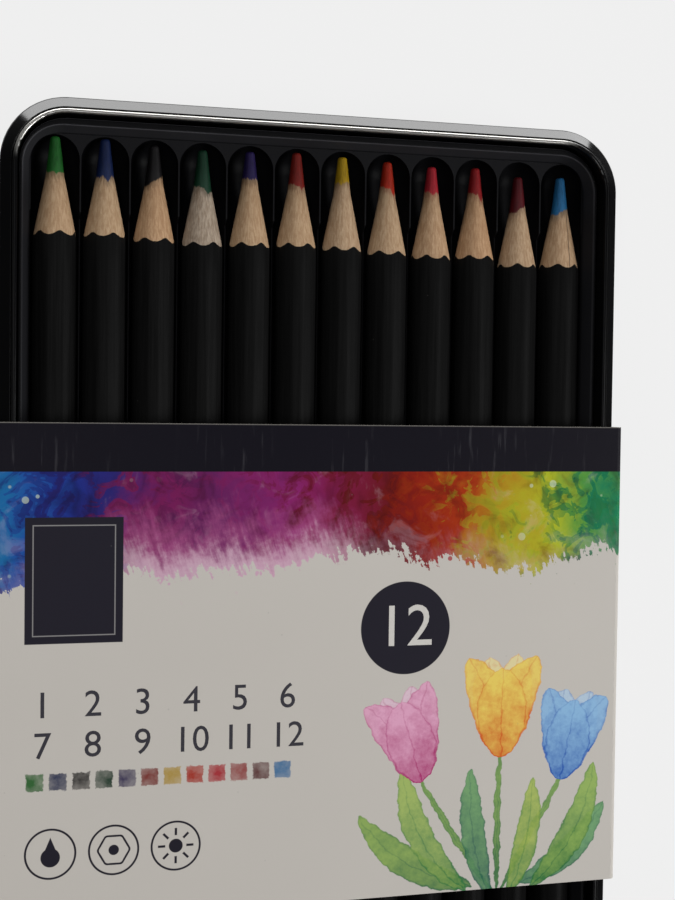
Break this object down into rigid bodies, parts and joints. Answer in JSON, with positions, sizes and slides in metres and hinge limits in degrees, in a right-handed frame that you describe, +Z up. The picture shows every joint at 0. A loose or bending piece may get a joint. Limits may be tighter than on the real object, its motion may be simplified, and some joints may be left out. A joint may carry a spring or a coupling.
{
  "type": "coloured pencil tin",
  "caption": "Flat open tin of hexagonal coloured pencils in a formed tray, its lid parked under its base, with a card sleeve round its middle.",
  "frame": {"origin": "centre of the underside, on the surface that the sleeve's back panel lies on", "axes": "+X to the right, +Y towards the pencil points, +Z up, out of the open face"},
  "size_m": [0.1094, 0.1888, 0.012],
  "materials": {
    "tin_lacquer": "gloss black lacquer on tinplate",
    "tray_plastic": "vacuum-formed black sheet, satin to gloss",
    "sleeve_card": "printed white card, smooth matt",
    "pencil_wood": "bare sharpened wood",
    "pencil_lacquer": "satin black lacquer",
    "lead_green": "bare coloured lead, matt and slightly waxy",
    "lead_dark_blue": "bare coloured lead, matt and slightly waxy",
    "lead_black": "bare coloured lead, matt and slightly waxy",
    "lead_teal_green": "bare coloured lead, matt and slightly waxy",
    "lead_violet": "bare coloured lead, matt and slightly waxy",
    "lead_red": "bare coloured lead, matt and slightly waxy",
    "lead_yellow": "bare coloured lead, matt and slightly waxy",
    "lead_orange_red": "bare coloured lead, matt and slightly waxy",
    "lead_rose": "bare coloured lead, matt and slightly waxy",
    "lead_crimson": "bare coloured lead, matt and slightly waxy",
    "lead_carmine": "bare coloured lead, matt and slightly waxy",
    "lead_sky_blue": "bare coloured lead, matt and slightly waxy"
  },
  "bodies": {
    "tin": {"lid": "tin_lacquer", "base": "tin_lacquer", "tray": "tray_plastic"},
    "sleeve": {"sleeve": "sleeve_card"},
    "pencil_01": {"pencil_01_lacquer": "pencil_lacquer", "pencil_01_casing": "pencil_wood", "pencil_01_lead": "lead_green"},
    "pencil_02": {"pencil_02_lacquer": "pencil_lacquer", "pencil_02_casing": "pencil_wood", "pencil_02_lead": "lead_dark_blue"},
    "pencil_03": {"pencil_03_lacquer": "pencil_lacquer", "pencil_03_casing": "pencil_wood", "pencil_03_lead": "lead_black"},
    "pencil_04": {"pencil_04_lacquer": "pencil_lacquer", "pencil_04_casing": "pencil_wood", "pencil_04_lead": "lead_teal_green"},
    "pencil_05": {"pencil_05_lacquer": "pencil_lacquer", "pencil_05_casing": "pencil_wood", "pencil_05_lead": "lead_violet"},
    "pencil_06": {"pencil_06_lacquer": "pencil_lacquer", "pencil_06_casing": "pencil_wood", "pencil_06_lead": "lead_red"},
    "pencil_07": {"pencil_07_lacquer": "pencil_lacquer", "pencil_07_casing": "pencil_wood", "pencil_07_lead": "lead_yellow"},
    "pencil_08": {"pencil_08_lacquer": "pencil_lacquer", "pencil_08_casing": "pencil_wood", "pencil_08_lead": "lead_orange_red"},
    "pencil_09": {"pencil_09_lacquer": "pencil_lacquer", "pencil_09_casing": "pencil_wood", "pencil_09_lead": "lead_rose"},
    "pencil_10": {"pencil_10_lacquer": "pencil_lacquer", "pencil_10_casing": "pencil_wood", "pencil_10_lead": "lead_crimson"},
    "pencil_11": {"pencil_11_lacquer": "pencil_lacquer", "pencil_11_casing": "pencil_wood", "pencil_11_lead": "lead_carmine"},
    "pencil_12": {"pencil_12_lacquer": "pencil_lacquer", "pencil_12_casing": "pencil_wood", "pencil_12_lead": "lead_sky_blue"}
  },
  "joints": [
    {"name": "sleeve_slide", "type": "slide", "parent": "tin", "child": "sleeve", "axis": [0, 1, 0], "range_m": [-0.138, 0.136]},
    {"name": "pencil_01_roll", "type": "hinge", "parent": "tin", "child": "pencil_01", "pos_m": [-0.04465, 0, 0.00549], "axis": [0, 1, 0], "continuous": true},
    {"name": "pencil_02_roll", "type": "hinge", "parent": "tin", "child": "pencil_02", "pos_m": [-0.03654, 0, 0.00549], "axis": [0, 1, 0], "continuous": true},
    {"name": "pencil_03_roll", "type": "hinge", "parent": "tin", "child": "pencil_03", "pos_m": [-0.02842, 0, 0.00549], "axis": [0, 1, 0], "continuous": true},
    {"name": "pencil_04_roll", "type": "hinge", "parent": "tin", "child": "pencil_04", "pos_m": [-0.0203, 0, 0.00549], "axis": [0, 1, 0], "continuous": true},
    {"name": "pencil_05_roll", "type": "hinge", "parent": "tin", "child": "pencil_05", "pos_m": [-0.01218, 0, 0.00549], "axis": [0, 1, 0], "continuous": true},
    {"name": "pencil_06_roll", "type": "hinge", "parent": "tin", "child": "pencil_06", "pos_m": [-0.00406, 0, 0.00549], "axis": [0, 1, 0], "continuous": true},
    {"name": "pencil_07_roll", "type": "hinge", "parent": "tin", "child": "pencil_07", "pos_m": [0.00406, 0, 0.00549], "axis": [0, 1, 0], "continuous": true},
    {"name": "pencil_08_roll", "type": "hinge", "parent": "tin", "child": "pencil_08", "pos_m": [0.01218, 0, 0.00549], "axis": [0, 1, 0], "continuous": true},
    {"name": "pencil_09_roll", "type": "hinge", "parent": "tin", "child": "pencil_09", "pos_m": [0.0203, 0, 0.00549], "axis": [0, 1, 0], "continuous": true},
    {"name": "pencil_10_roll", "type": "hinge", "parent": "tin", "child": "pencil_10", "pos_m": [0.02842, 0, 0.00549], "axis": [0, 1, 0], "continuous": true},
    {"name": "pencil_11_roll", "type": "hinge", "parent": "tin", "child": "pencil_11", "pos_m": [0.03654, 0, 0.00549], "axis": [0, 1, 0], "continuous": true},
    {"name": "pencil_12_roll", "type": "hinge", "parent": "tin", "child": "pencil_12", "pos_m": [0.04465, 0, 0.00549], "axis": [0, 1, 0], "continuous": true}
  ]
}
